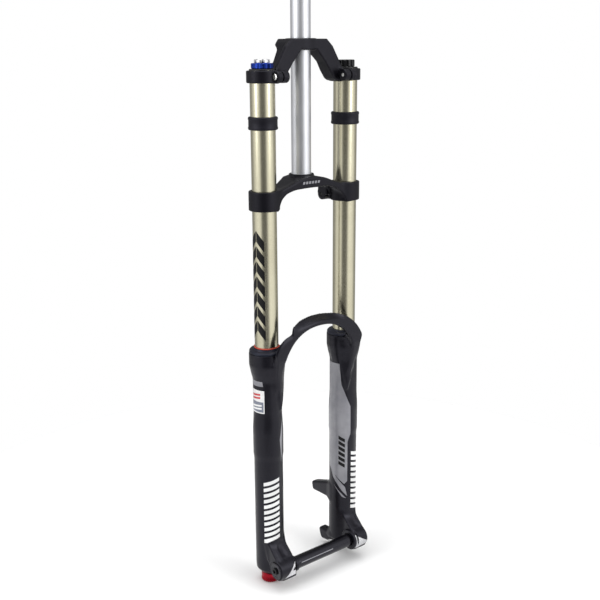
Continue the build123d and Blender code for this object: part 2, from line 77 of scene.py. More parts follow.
def round_size(node):
    """Radius, bottom and top of an upright round CAD node."""
    low, high = box(node)
    return (high[0] - low[0]) / 2, low[2], high[2]


def into_scene(item):
    """Links an object to the scene's main collection."""
    bpy.context.scene.collection.objects.link(item)


# ---- places and sizes taken from the frame
LEG_X = -middle("stanchion_right")[0]
LEG_Y = middle("stanchion_right")[1]
STANCHION_RADIUS = round_size("stanchion_right")[0]
AXLE_Y, AXLE_Z = middle("through_axle")[1:]
AXLE_RADIUS = 10.0
SIDES = {"right": -1, "left": 1}


# ---- signed distances, in millimetres and negative inside
def joined(a, b, blend):
    """Union with a rounded inner corner."""
    mix = np.maximum(blend - np.abs(a - b), 0) / blend
    return np.minimum(a, b) - mix * mix * blend / 4


def common(a, b, blend):
    """Intersection with a rounded edge."""
    return -joined(-a, -b, blend)


def cut(a, b, blend):
    """The first shape with the second taken out of it."""
    return -joined(-a, b, blend)


def slab(value, low, high):
    return np.abs(value - (low + high) / 2) - (high - low) / 2


def outline(u, v, points):
    """Distance to a closed polygon in the plane."""
    nearest = np.inf
    inside = False
    for (u0, v0), (u1, v1) in zip(points, points[1:] + points[:1]):
        edge_u = u1 - u0
        edge_v = v1 - v0
        along = ((u - u0) * edge_u + (v - v0) * edge_v) / (edge_u ** 2 + edge_v ** 2)
        along = np.clip(along, 0, 1)
        nearest = np.minimum(nearest, np.hypot(u - u0 - edge_u * along, v - v0 - edge_v * along))
        if edge_v:
            crosses = (np.minimum(v0, v1) <= v) & (v < np.maximum(v0, v1))
            inside = inside ^ (crosses & (u < u0 + (v - v0) * edge_u / edge_v))
    return np.where(inside, -nearest, nearest)


def smooth_curve(at, points):
    """Smooth curve through (place, value) points that never overshoots them, flat at both ends."""
    places, values = np.array(points, float).T
    steps = np.diff(places)
    slopes = np.diff(values) / steps
    tangents = np.zeros(len(values))
    before, after = slopes[:-1], slopes[1:]
    same_way = before * after > 0
    tangents[1:-1][same_way] = (2 * before * after)[same_way] / (before + after)[same_way]
    at = np.clip(at, places[0], places[-1])
    i = np.clip(np.searchsorted(places, at, side="right") - 1, 0, len(steps) - 1)
    t = (at - places[i]) / steps[i]
    ease = t * t * (3 - 2 * t)
    bend = t * (1 - t) * steps[i] * ((1 - t) * tangents[i] - t * tangents[i + 1])
    return values[i] + (values[i + 1] - values[i]) * ease + bend


# ---- lower legs
LEG_BOTTOM, LEG_FLOOR = -20.6, 2.0
CUP_TOP, CUP_RADIUS = 343.0, 26.6
LEG_PROFILE = [(-20.6, 15.5), (-11.6, 21.6), (-4, 22), (172, 22), (184, 23), (217, 23), (250, 21.6),
               (298, 21.6), (314, 24.6), (327, CUP_RADIUS), (CUP_TOP, CUP_RADIUS)]
LEG_BORE, SEAL_BORE, SEAL_BORE_BOTTOM = 19.1, 22.0, 323.0
FOOT_HOLE = 4.0
LUG_FACE, HUB_FACE = -15.0, -20.0
RIGHT_OUTER, LEFT_OUTER, AXLE_HEAD_FACE = 11.0, 9.0, 17.0
HEAD_BOSS, RIGHT_HUB_BOSS, LEFT_HUB_BOSS = 15.6, 12.0, 16.5
LUG_OUTLINE = [(-8, 42), (10, 42), (37.4, 18.8), (46.3, 10.5), (50.5, 2), (51, -7), (48, -15), (42, -18.5),
               (34, -18.5), (16, -14), (8, -10), (-8, -10)]
RIB_FOOT = 4.5
RIB_OUTLINE = [(14, 41), (21.7, 34.6), (40.5, 15.8), (51, 3), (52, -4), (46.8, -13), (36, -15.6), (24, -8),
               (18, 10)]
FACET_TOP, FACET_LOW, FACET_TIP = (60.3, 46.3, 10.0), (60.6, 48.6, -12.0), (86.75, 48.0, -14.0)
SCOOP = ((-2.0, 25.0, 42.0), (-2.0, 39.0, 26.0), 6.6)
ARCH_REAR, ARCH_FRONT = 13.0, 37.0
STEPPED_CREST = [(0, 391), (30, 389), (50.8, 384.5), (53.2, 374), (66.5, 368), (77.5, 358.5),
                 (85, 345), (90, 330), (94, 300)]
SMOOTH_CREST = [(0, 391), (30, 389), (48, 384), (58, 378), (69.7, 368), (78, 357.5), (85, 345),
                (90, 330), (94, 300)]
ARCH_CREST_FORWARD = [(0, 21), (30, 25.5), (50, 33), (95, 33)]
ARCH_CREST_BACK_SLOPE, ARCH_SIDE_SLOPE = 4.0, 0.5
ARCH_EDGE_HEIGHT = [(0, 383), (32, 377.5), (56, 365), (75, 356), (84, 341), (92, 300)]
ARCH_INSIDE = (68.0, 70.5, 306.0, 2.25)
ARCH_ROOT = [(14, 280), (21.5, 292), (35.5, 336), (37, 352), (37, 400), (14, 400)]
ARCH_ROOT_EDGE = [(60, 240), (71, 282), (77, 314), (80.5, 335.5), (84.5, 349), (90, 360), (97, 420),
                  (-20, 420), (-20, 240)]
RIDGE_OUTLINE = [(50, 334), (52, 306), (60, 272), (65, 256), (69, 272), (71, 300), (73, 334)]
RIDGE_RADIUS = 24.4
POST_X, POST_HALF_WIDTH, POST_TILT = 62.0, 7.6, radians(14.3)
POST_SPACING, POST_LOW = 74.2, (-37.1, -13.4)
POST_ROUNDING = 4.5
POST_HOLE, POST_HOLE_DEPTH = 2.6, 14.0
AXLE_CLEARANCE, HEAD_RECESS = 0.1, 14.1


def post_point(along, out):
    """Point of the brake posts' face line, along it upwards and out from it rearwards."""
    return (POST_LOW[0] - along * sin(POST_TILT) - out * cos(POST_TILT),
            POST_LOW[1] + along * cos(POST_TILT) - out * sin(POST_TILT))


LOW_POST = [post_point(-7.5, -POST_ROUNDING), post_point(0, -POST_ROUNDING), (-18, -12), (-10, -11),
            (-10, -17), (-18, -21.5), (-28.5, -23)]
HIGH_POST = [post_point(POST_SPACING - 1, -POST_ROUNDING), post_point(POST_SPACING + 6, -POST_ROUNDING),
             (-17, 78), (-10, 79), (-10, 58), (-17, 60)]


def arch_shape(x, forward, height):
    """Arch between the legs; its crest has a step on the right, and its roots lean back."""
    across = np.abs(x)
    crest = np.where(x < 0, smooth_curve(across, STEPPED_CREST), smooth_curve(across, SMOOTH_CREST))
    crest_forward = smooth_curve(across, ARCH_CREST_FORWARD)
    edge = smooth_curve(across, ARCH_EDGE_HEIGHT)
    rise = (crest - edge) / (ARCH_FRONT - crest_forward)
    front_top = edge + rise * (ARCH_FRONT - forward)
    back_top = crest - ARCH_CREST_BACK_SLOPE * (crest_forward - forward)
    top = np.minimum(front_top, back_top)
    steepness = np.sqrt(1 + rise ** 2 + ARCH_SIDE_SLOPE ** 2)
    half_width, rise_inside, foot, power = ARCH_INSIDE
    reach = (across / half_width) ** power + (np.maximum(height - foot, 0) / rise_inside) ** power
    opening = (1 - reach ** (1 / power)) * half_width
    solid = common((height - top) / steepness, opening, 1.6)
    solid = common(solid, slab(forward, ARCH_REAR, ARCH_FRONT), 2.5)
    solid = common(solid, outline(forward, height, ARCH_ROOT), 4)
    return common(solid, outline(across, height, ARCH_ROOT_EDGE), 1.6)


def capsule(u, v, w, start, end, radius):
    """Round-ended rod between two points."""
    start = np.array(start)
    along = np.array(end) - start
    share = (u - start[0]) * along[0] + (v - start[1]) * along[1] + (w - start[2]) * along[2]
    share = np.clip(share / along.dot(along), 0, 1)
    away = [q - start[i] - along[i] * share for i, q in enumerate((u, v, w))]
    return np.sqrt(away[0] ** 2 + away[1] ** 2 + away[2] ** 2) - radius


def facet_cut(across, forward, height):
    """What a machined facet takes off the nose, in front of it and under its slanted upper edge."""
    top, low, tip = (np.array(corner) for corner in (FACET_TOP, FACET_LOW, FACET_TIP))
    normal = np.cross(tip - top, low - top)
    normal *= np.sign(normal[1]) / np.linalg.norm(normal)
    beyond = normal[0] * across + normal[1] * forward + normal[2] * height - normal.dot(top)
    slope = np.array([tip[0] - top[0], tip[2] - top[2]])
    slope /= np.linalg.norm(slope)
    above = (height - top[2]) * slope[0] - (across - top[0]) * slope[1]
    return common(-beyond, above, 0.6)


def dropout_shape(x, side, forward, height):
    """Lug that carries the axle: a boss on each face, a scoop in front, a facet on the right nose."""
    axle = np.hypot(forward - (LEG_Y - AXLE_Y), height)
    on_right = x < 0
    outer = np.where(on_right, RIGHT_OUTER, LEFT_OUTER)
    lug = common(outline(forward, height, LUG_OUTLINE), np.maximum(LUG_FACE - side, side - outer), 2.2)
    rib_face = np.where(on_right, AXLE_HEAD_FACE, LEFT_OUTER)
    rib = common(outline(forward, height, RIB_OUTLINE), np.maximum(RIB_FOOT - side, side - rib_face), 1.8)
    lug = joined(lug, rib, 2)
    lug = cut(lug, capsule(side, forward, height, *SCOOP), 3)
    head_boss = common(axle - HEAD_BOSS, np.maximum(LUG_FACE + 4 - side, side - rib_face), 1.5)
    hub_radius = np.where(on_right, RIGHT_HUB_BOSS, LEFT_HUB_BOSS)
    hub_boss = common(axle - hub_radius, slab(side, HUB_FACE, LUG_FACE + 0.2), 0.8)
    facet = np.where(on_right, facet_cut(side + LEG_X, forward, height), 1)
    lug = cut(joined(lug, head_boss, 1.5), facet, 0.6)
    return joined(lug, hub_boss, 0.4)


def brake_posts(x, forward, height):
    """Both brake posts of the left leg."""
    posts = np.minimum(outline(forward, height, LOW_POST), outline(forward, height, HIGH_POST))
    return common(posts - POST_ROUNDING, slab(x, POST_X - POST_HALF_WIDTH, POST_X + POST_HALF_WIDTH), 4.5)


def post_hole(x, forward, height, along):
    """Bolt hole into a brake post, square to the posts' face line."""
    hole_forward, hole_height = post_point(along, 0)
    out = (hole_forward - forward) * cos(POST_TILT) + (hole_height - height) * sin(POST_TILT)
    up = (height - hole_height) * cos(POST_TILT) - (forward - hole_forward) * sin(POST_TILT)
    return common(np.hypot(x - POST_X, up) - POST_HOLE, slab(out, -POST_HOLE_DEPTH, 4), 0.5)


def leg_hollow(radius, height):
    """Bore of a leg, wider for the seal, with the foot bolt's hole below and an open mouth above."""
    bore = np.where(height < SEAL_BORE_BOTTOM, LEG_BORE, SEAL_BORE)
    hollow = np.maximum(radius - bore, LEG_FLOOR - height)
    hollow = np.minimum(hollow, np.maximum(radius - FOOT_HOLE, LEG_BOTTOM - 2 - height))
    mouth = np.maximum(radius - CUP_RADIUS - 0.8, CUP_TOP - height)
    return np.minimum(hollow, mouth)


def lower_legs_shape(x, y, z):
    """Casting of both legs, the arch, the dropouts and the brake posts."""
    forward = LEG_Y - y
    height = z - AXLE_Z
    across = np.abs(x)
    side = across - LEG_X
    radius = np.hypot(side, forward)
    body = radius - smooth_curve(height, LEG_PROFILE)
    body = common(body, slab(height, LEG_BOTTOM, CUP_TOP), 1.6)
    ridge = common(outline(across, height, RIDGE_OUTLINE), np.maximum(radius - RIDGE_RADIUS, -forward), 3)
    body = joined(body, ridge, 6)
    body = joined(body, dropout_shape(x, side, forward, height), 7)
    body = joined(body, arch_shape(x, forward, height), 9)
    body = joined(body, brake_posts(x, forward, height), 6)
    for along in (0, POST_SPACING):
        body = cut(body, post_hole(x, forward, height, along), 0.8)
    body = cut(body, leg_hollow(radius, height), 0.5)
    axle = np.hypot(y - AXLE_Y, height)
    body = cut(body, axle - AXLE_RADIUS - AXLE_CLEARANCE, 0.8)
    recess = common(axle - HEAD_RECESS, AXLE_HEAD_FACE - AXLE_CLEARANCE - side, 0.5)
    return cut(body, recess, 0.8)


# ---- crowns
CLAMP_LOW, CLAMP_HIGH, CLAMP_RADIUS = -42.3, -14.5, 22.2
LOWER_TOP = [(0, 0.5), (20, -2.2), (44, -10.5), (60, -14.5), (70, -14.5)]
LOWER_BOTTOM = [(0, -16), (26, -16.6), (44.5, -20.4), (53.5, -26.5), (60, -34), (65, -42.3), (70, -42.3)]
LOWER_PLAN = [(-5, -27.5), (70, -27.5), (70, 3), (46, 6), (30, 14), (20, 19), (-5, 19)]
LOWER_BARREL = (12.0, -34.5, 8.5, 47.0, 73.0)
DISH_DEPTH = 0.9
# A height difference times this is about the distance to the bar's sloping top or bottom.
BAR_TOP_SHARE, BAR_BOTTOM_SHARE = 0.95, 0.9
LOWER_WEB = [(0, -20), (0, -34), (12, -34), (20.2, -32), (20.2, -24), (14, -20)]
UPPER_LOW, UPPER_HIGH, UPPER_RADIUS = 132.9, 149.5, 22.0
UPPER_OUTLINE = [(-5, 191), (32, 191), (42.7, 181), (56, 159), (62, 149.5), (72, 149.5), (72, 132.9),
                 (50, 132.9), (45, 136), (29, 159), (13.5, 176.5), (-5, 176.5)]
UPPER_POCKET = [(38, 190), (49, 182), (70, 147), (56, 150), (48, 161), (38.5, 176)]
UPPER_BARREL = (-32.5, 141.2, 8.3, 50.0, 70.0)
ARM_REAR = [(12.5, 200), (12.5, 190), (6.5, 179), (1.5, 160), (4, 148), (4, 120), (-40, 120), (-40, 200)]
ARM_DEPTH, POCKET_DEPTH = (-21, 12.5), (-15.5, 7)
HUB_LOW, HUB_HIGH = 176.5, 191
STEERER_CLAMP_RADIUS = 20.5
STEM_BARREL = (20.5, 183.75, 7.25, 10.0)
STEM_BLOCK = (3, 21)
COLLAR_RADIUS, COLLAR_LOW, COLLAR_HIGH = 18.4, -14, 2.4
LOWER_STEERER_BORE, UPPER_STEERER_BORE, STANCHION_GAP = 15.1, 14.35, 0.05
LOWER_SLIT, LOWER_SLIT_FRONT, LOWER_SLIT_TOP = (64.2, 65.8), -2, -25
UPPER_SLIT, UPPER_SLIT_BACK = (60.2, 61.8), -18
STEM_SLIT_HALF, STEM_SLIT_FRONT = 0.8, 12
BOLT_HEAD, BOLT_HEAD_HEIGHT, BOLT_SHANK, COUNTERBORE = 4.6, 4.5, 3.0, 4.9


def barrel(across, y, z, place):
    """Pinch-bolt barrel along X."""
    centre_y, centre_z, radius, start, end = place
    return common(np.hypot(y - centre_y, z - centre_z) - radius, slab(across, start, end), 2)


def bolt_hole(across, y, z, place):
    """Hole of a pinch bolt, with a counterbore that ends a little beyond the head's face."""
    centre_y, centre_z, _, start, head_face = place
    reach = np.hypot(y - centre_y, z - centre_z)
    counterbore = np.maximum(reach - COUNTERBORE, slab(across, head_face - BOLT_HEAD_HEIGHT, head_face + 2.8))
    return np.minimum(counterbore, np.maximum(reach - BOLT_SHANK, slab(across, start - 2, head_face)))


def lower_crown_shape(x, y, z):
    """Arched bar, dished on top, with the steerer's collar, the leg clamps and their bolt barrels."""
    across = np.abs(x)
    top = smooth_curve(across, LOWER_TOP)
    bottom = smooth_curve(across, LOWER_BOTTOM)
    tube = np.hypot(x, y)
    dish = DISH_DEPTH * np.clip((y + 22) / 8, 0, 1) * np.clip((across - 20) / 6, 0, 1)
    bar = common((z - top + dish) * BAR_TOP_SHARE, (bottom - z) * BAR_BOTTOM_SHARE, 2.2)
    bar = common(bar, outline(across, y, LOWER_PLAN), 3)
    collar = common(tube - COLLAR_RADIUS, slab(z, COLLAR_LOW, COLLAR_HIGH), 1.2)
    crown = joined(bar, collar, 2)
    leg = np.hypot(across - LEG_X, y - LEG_Y)
    clamp = common(leg - CLAMP_RADIUS, slab(z, CLAMP_LOW, CLAMP_HIGH), 1.8)
    crown = joined(crown, clamp, 5)
    web = common(outline(y, z, LOWER_WEB), slab(across, LOWER_BARREL[3], 66), 2)
    crown = joined(crown, joined(web, barrel(across, y, z, LOWER_BARREL), 2), 4)
    crown = cut(crown, bolt_hole(across, y, z, LOWER_BARREL), 0.6)
    slit = np.maximum(slab(across, *LOWER_SLIT), LOWER_SLIT_FRONT - y)
    crown = cut(crown, np.maximum(slit, z - LOWER_SLIT_TOP), 0.4)
    crown = cut(crown, leg - STANCHION_RADIUS - STANCHION_GAP, 1)
    return cut(crown, tube - LOWER_STEERER_BORE, 0.8)


def upper_crown_shape(x, y, z):
    """Hub with a slit stem clamp, pocketed arms, and leg clamps with their bolt barrels in front."""
    across = np.abs(x)
    arms = common(outline(across, z, UPPER_OUTLINE), slab(y, *ARM_DEPTH), 2.4)
    arms = common(arms, outline(y, z, ARM_REAR), 3)
    pocket = common(outline(across, z, UPPER_POCKET), slab(y, *POCKET_DEPTH), 3.5)
    arms = cut(arms, pocket, 2)
    leg = np.hypot(across - LEG_X, y - LEG_Y)
    clamp = common(leg - UPPER_RADIUS, slab(z, UPPER_LOW, UPPER_HIGH), 1.8)
    crown = joined(arms, clamp, 5)
    crown = joined(crown, barrel(across, y, z, UPPER_BARREL), 3)
    stem_y, stem_z, stem_radius, stem_half = STEM_BARREL
    stem_reach = np.hypot(y - stem_y, z - stem_z)
    hub = slab(z, HUB_LOW, HUB_HIGH)
    stem = common(stem_reach - stem_radius, across - stem_half, 2)
    core = common(slab(y, *STEM_BLOCK), common(hub, across - stem_half, 2), 2)
    crown = joined(crown, joined(stem, core, 2), 2)
    tube = np.hypot(x, y)
    crown = joined(crown, common(tube - STEERER_CLAMP_RADIUS, hub, 1.5), 3)
    crown = cut(crown, bolt_hole(across, y, z, UPPER_BARREL), 0.6)
    counterbore = np.maximum(stem_reach - COUNTERBORE, x + stem_half - BOLT_HEAD_HEIGHT)
    crown = cut(crown, np.minimum(stem_reach - BOLT_SHANK, counterbore), 0.5)
    crown = cut(crown, np.maximum(slab(across, *UPPER_SLIT), y - UPPER_SLIT_BACK), 0.4)
    crown = cut(crown, np.maximum(across - STEM_SLIT_HALF, STEM_SLIT_FRONT - y), 0.4)
    crown = cut(crown, leg - STANCHION_RADIUS - STANCHION_GAP, 1)
    return cut(crown, tube - UPPER_STEERER_BORE, 1)


# ---- materials
def new_material(name, colour, roughness, metallic=0.0, coat=0.0):
    """Principled material with its node tree, shader and object coordinates."""
    material = bpy.data.materials.new(name)
    material.use_nodes = True
    nodes = material.node_tree.nodes
    shader = nodes["Principled BSDF"]
    values = {"Base Color": (*colour, 1), "Roughness": roughness, "Metallic": metallic, "Coat Weight": coat,
              "Coat Roughness": 0.12}
    for key, value in values.items():
        shader.inputs[key].default_value = value
    place = nodes.new("ShaderNodeTexCoord")
    return material, shader, place.outputs["Object"]


def link(material, source, target):
    material.node_tree.links.new(source, target)


def add_node(material, kind, values):
    """New node with values for its named inputs."""
    node = material.node_tree.nodes.new(kind)
    for name, value in values.items():
        node.inputs[name].default_value = value
    return node


def noise(material, place, scale, detail=3.0, stretch=(1, 1, 1)):
    """Noise over the object, its scale in features per metre."""
    mapping = add_node(material, "ShaderNodeMapping", {"Scale": stretch})
    link(material, place, mapping.inputs["Vector"])
    texture = add_node(material, "ShaderNodeTexNoise", {"Scale": scale, "Detail": detail})
    link(material, mapping.outputs["Vector"], texture.inputs["Vector"])
    return texture.outputs["Fac"]


def spread(material, value, low, high):
    """Maps the useful middle of a noise to a range."""
    limits = {"From Min": 0.3, "From Max": 0.7, "To Min": low, "To Max": high}
    ranged = add_node(material, "ShaderNodeMapRange", limits)
    link(material, value, ranged.inputs["Value"])
    return ranged.outputs["Result"]


def shade(material, value, dark, light):
    """Colour between two shades, by a value."""
    mixer = material.node_tree.nodes.new("ShaderNodeMix")
    mixer.data_type = "RGBA"
    mixer.inputs["A"].default_value = (*dark, 1)
    mixer.inputs["B"].default_value = (*light, 1)
    link(material, value, mixer.inputs["Factor"])
    return mixer.outputs["Result"]


def bump(material, shader, value, height):
    node = add_node(material, "ShaderNodeBump", {"Distance": height})
    link(material, value, node.inputs["Height"])
    link(material, node.outputs["Normal"], shader.inputs["Normal"])


def surface(name, dark, light, roughness, metallic=0.0, coat=0.0, grain=1500.0, relief=4e-5,
            stretch=(1, 1, 1), patches=45.0, sheen=(1, 1, 1), shine=0.5):
    """Finish with soft colour patches and a fine grain in gloss and relief; sheen tints its glints."""
    material, shader, place = new_material(name, light, sum(roughness) / 2, metallic, coat)
    shader.inputs["Specular Tint"].default_value = (*sheen, 1)
    shader.inputs["Specular IOR Level"].default_value = shine
    broad = noise(material, place, patches)
    fine = noise(material, place, grain, 4.0, stretch)
    link(material, shade(material, spread(material, broad, 0, 1), dark, light), shader.inputs["Base Color"])
    link(material, spread(material, fine, *roughness), shader.inputs["Roughness"])
    bump(material, shader, fine, relief)
    return material


def decal(name, dark, light, roughness):
    """Printed film under a thin clear coat."""
    return surface(name, dark, light, roughness, coat=0.3, grain=2400, relief=1e-5)


VIOLET = (0.86, 0.85, 1.0)
LOWERS_BLACK = surface(
    "satin_black_paint", (0.0016, 0.0014, 0.0030), (0.0030, 0.0027, 0.0050), (0.26, 0.36), grain=1100,
    relief=3e-5, sheen=VIOLET, shine=0.30)
CROWN_BLACK = surface(
    "bead_blasted_black", (0.0018, 0.0016, 0.0030), (0.0036, 0.0033, 0.0052), (0.34, 0.46), grain=2400,
    relief=5e-5, sheen=VIOLET, shine=0.22)
STANCHION_GOLD = surface(
    "champagne_anodising", (0.53, 0.50, 0.37), (0.59, 0.56, 0.42), (0.20, 0.30), metallic=1.0, grain=900,
    relief=6e-6, stretch=(1, 1, 6), patches=20)
STEERER_SILVER = surface(
    "drawn_aluminium", (0.62, 0.63, 0.66), (0.68, 0.69, 0.72), (0.40, 0.48), metallic=1.0, grain=1400,
    relief=6e-6, stretch=(1, 1, 0.04), patches=25)
BARE_ALUMINIUM = surface(
    "turned_aluminium", (0.56, 0.56, 0.57), (0.70, 0.70, 0.71), (0.22, 0.36), metallic=1.0, grain=2500,
    relief=2e-5, stretch=(0.2, 0.2, 3))
BOLT_STEEL = surface(
    "plated_steel", (0.58, 0.58, 0.57), (0.74, 0.74, 0.72), (0.18, 0.30), metallic=1.0, grain=3000,
    relief=1e-5)
BLACK_STEEL = surface(
    "black_oxide_steel", (0.004, 0.004, 0.005), (0.010, 0.010, 0.012), (0.24, 0.38), metallic=0.3,
    grain=2600, relief=2e-5, shine=0.4)
KNOB_BLUE = surface(
    "blue_anodising", (0.003, 0.016, 0.15), (0.006, 0.032, 0.26), (0.20, 0.32), metallic=0.8, grain=2600,
    relief=1e-5)
KNOB_RED = surface(
    "red_anodising", (0.20, 0.003, 0.010), (0.42, 0.006, 0.020), (0.22, 0.34), metallic=0.8, grain=2600,
    relief=1e-5)
RUBBER_BLACK = surface(
    "moulded_rubber", (0.0024, 0.0022, 0.0042), (0.0046, 0.0043, 0.0070), (0.42, 0.55), grain=1300,
    relief=6e-5, sheen=VIOLET, shine=0.28)
WIPER_RUBBER = surface(
    "wiper_rubber", (0.004, 0.005, 0.011), (0.008, 0.011, 0.020), (0.34, 0.48), grain=1600, relief=3e-5,
    sheen=VIOLET, shine=0.30)
RING_RED = surface("red_rubber", (0.42, 0.035, 0.018), (0.62, 0.075, 0.035), (0.40, 0.52), grain=1500)
FOAM_GREY = surface(
    "open_foam", (0.05, 0.05, 0.055), (0.20, 0.20, 0.21), (0.85, 0.98), grain=900, relief=6e-4)
BUSHING_BRONZE = surface(
    "sintered_bronze", (0.18, 0.10, 0.045), (0.36, 0.22, 0.10), (0.32, 0.50), metallic=0.9, grain=2200)
INNER_PLASTIC = surface(
    "moulded_nylon", (0.035, 0.036, 0.038), (0.075, 0.076, 0.080), (0.42, 0.58), grain=1200)
SPRING_STEEL = surface(
    "painted_spring_steel", (0.025, 0.030, 0.040), (0.060, 0.068, 0.085), (0.26, 0.40), coat=0.4, grain=1000)
AXLE_BLACK = surface(
    "gloss_black_anodising", (0.0018, 0.0016, 0.0026), (0.0034, 0.0032, 0.0046), (0.12, 0.20), grain=1800,
    relief=8e-6, sheen=VIOLET, shine=0.40)
DECAL_GREY = decal("grey_decal", (0.20, 0.20, 0.225), (0.28, 0.28, 0.305), (0.26, 0.40))
DECAL_STEEL = decal("blue_grey_decal", (0.13, 0.15, 0.20), (0.21, 0.23, 0.29), (0.26, 0.40))
DECAL_WHITE = decal("white_decal", (0.72, 0.72, 0.72), (0.86, 0.86, 0.86), (0.30, 0.42))
DECAL_DARK = surface(
    "charcoal_decal", (0.003, 0.003, 0.0035), (0.008, 0.008, 0.009), (0.34, 0.46), grain=2400,
    relief=1e-5, shine=0.2)
DECAL_RED = decal("red_decal", (0.46, 0.020, 0.025), (0.62, 0.040, 0.045), (0.30, 0.42))
NOSE_SILVER = surface(
    "machined_silver_facet", (0.48, 0.48, 0.50), (0.66, 0.66, 0.68), (0.24, 0.36), metallic=0.6, grain=1500,
    relief=2e-5, stretch=(4, 1, 1))


# ---- meshes
SHARP_ANGLE = radians(32)


def add_piece(name, mesh, material, body, slot, *replaced):
    """Adds a mesh that rides a body and wears the given material; the slot argument is not used."""
    mesh.materials.append(material)
    mesh.set_sharp_from_angle(angle=SHARP_ANGLE)
    piece = bpy.data.objects.new(name, mesh)
    into_scene(piece)
    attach(piece, body)
    if replaced:
        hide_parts(*replaced)
    return piece


def field_mesh(name, shape, blocks, voxel, faces):
    """Closed smooth mesh of a signed distance, sampled in blocks of space."""
    margin = 3 * voxel
    grid = openvdb.FloatGrid(background=margin)
    for low, high in blocks:
        start = np.floor(np.array(low) / voxel).astype(int)
        stop = np.ceil(np.array(high) / voxel).astype(int)
        x, y, z = [np.arange(first, last) * voxel for first, last in zip(start, stop)]
        values = shape(x[:, None, None], y[None, :, None], z[None, None, :])
        values = np.clip(values, -margin, margin).astype(np.float32)
        grid.copyFromArray(np.ascontiguousarray(values), ijk=tuple(int(i) for i in start), tolerance=0)
    grid.transform = openvdb.createLinearTransform(voxelSize=voxel)
    points, triangles, quads = grid.convertToPolygons(isovalue=0.0, adaptivity=0.0)
    mesh = bpy.data.meshes.new(name)
    mesh.from_pydata((points * MM).tolist(), [], quads.tolist() + triangles.tolist())
    mesh.validate()
    mesh.shade_smooth()
    return thinned(mesh, faces)


def thinned(mesh, faces):
    """The mesh with its flatter areas in larger faces, down to a number of triangles."""
    triangles = sum(len(polygon.vertices) - 2 for polygon in mesh.polygons)
    if triangles <= faces:
        return mesh
    holder = bpy.data.objects.new(mesh.name + "_raw", mesh)
    into_scene(holder)
    modifier = holder.modifiers.new("thin", "DECIMATE")
    modifier.ratio = faces / triangles
    thin = bpy.data.meshes.new_from_object(holder.evaluated_get(bpy.context.evaluated_depsgraph_get()))
    bpy.data.objects.remove(holder)
    thin.shade_smooth()
    return thin


def gradient(shape, points):
    """Outward direction of a signed distance at points in millimetres."""
    reach = 0.4
    slopes = []
    for axis in np.eye(3) * reach:
        ahead = shape(*(points + axis).T)
        behind = shape(*(points - axis).T)
        slopes.append(ahead - behind)
    normals = np.array(slopes).T
    return normals / np.maximum(np.linalg.norm(normals, axis=1, keepdims=True), 1e-9)


def add_field_piece(name, shape, blocks, voxel, faces, material, body, slot, node):
    """Piece meshed from a signed distance, which also gives its smooth normals."""
    mesh = field_mesh(name, shape, blocks, voxel, faces)
    points = np.empty(len(mesh.vertices) * 3)
    mesh.vertices.foreach_get("co", points)
    points = points.reshape(-1, 3) / MM
    piece = add_piece(name, mesh, material, body, slot, node)
    mesh.normals_split_custom_set_from_vertices(gradient(shape, points).tolist())
    return piece


def ring(radius, height):
    return (lambda angle: radius), height


def turned(*points):
    """Round rings through (radius, height) points."""
    return [ring(*point) for point in points]


def hex_ring(radius, height):
    """Ring with six flat sides; the radius is the corners'."""
    half = pi / 6
    return (lambda angle: radius * cos(half) / cos(angle % (2 * half) - half)), height


def hexagons(*points):
    """Six-sided rings through (corner radius, height) points."""
    return [hex_ring(*point) for point in points]


def fluted_ring(radius, flutes, depth, height, sharpness=3.0):
    """Ring with evenly spaced hollows around its rim."""
    return (lambda angle: radius - depth * max(0, cos(flutes * angle)) ** sharpness), height


def finished(mesh, name):
    """Smooth-shaded mesh data from a bmesh, which is freed."""
    data = bpy.data.meshes.new(name)
    mesh.to_mesh(data)
    mesh.free()
    data.shade_smooth()
    return data


def stack_mesh(name, rings, turn, offset, steps, hollow):
    """Closed mesh from rings stacked along local Z; a hollow one joins its last ring to its first."""
    mesh = bmesh.new()
    loops = []
    for radius, height in rings:
        loop = []
        for step in range(steps):
            angle = 2 * pi * step / steps
            reach = radius(angle)
            loop.append(mesh.verts.new((reach * cos(angle), reach * sin(angle), height)))
        loops.append(loop)
    pairs = list(zip(loops, loops[1:]))
    if hollow:
        pairs.append((loops[-1], loops[0]))
    for low, high in pairs:
        for step in range(steps):
            after = (step + 1) % steps
            mesh.faces.new((low[step], low[after], high[after], high[step]))
    if not hollow:
        for loop, (radius, height) in ((loops[0], rings[0]), (loops[-1], rings[-1])):
            middle = mesh.verts.new((0, 0, height))
            for step in range(steps):
                mesh.faces.new((loop[step], loop[(step + 1) % steps], middle))
    bmesh.ops.recalc_face_normals(mesh, faces=mesh.faces)
    bmesh.ops.transform(mesh, matrix=turn, verts=mesh.verts)
    bmesh.ops.translate(mesh, vec=offset, verts=mesh.verts)
    bmesh.ops.scale(mesh, vec=(MM, MM, MM), verts=mesh.verts)
    return finished(mesh, name)


UPRIGHT = Matrix.Identity(4)
TOWARDS_LEFT = Matrix.Rotation(radians(90), 4, "Y")
TOWARDS_RIGHT = Matrix.Rotation(radians(-90), 4, "Y")


def add_stack(name, rings, material, body, slot, *replaced, turn=UPRIGHT, offset=(0, 0, 0), steps=96,
              hollow=False):
    mesh = stack_mesh(name, rings, turn, Vector(offset), steps, hollow)
    return add_piece(name, mesh, material, body, slot, *replaced)


def merged(name, pieces, material, body, slot, *replaced):
    """One piece from several meshes that stand for one CAD node."""
    mesh = bmesh.new()
    for piece in pieces:
        mesh.from_mesh(piece)
    return add_piece(name, finished(mesh, name), material, body, slot, *replaced)


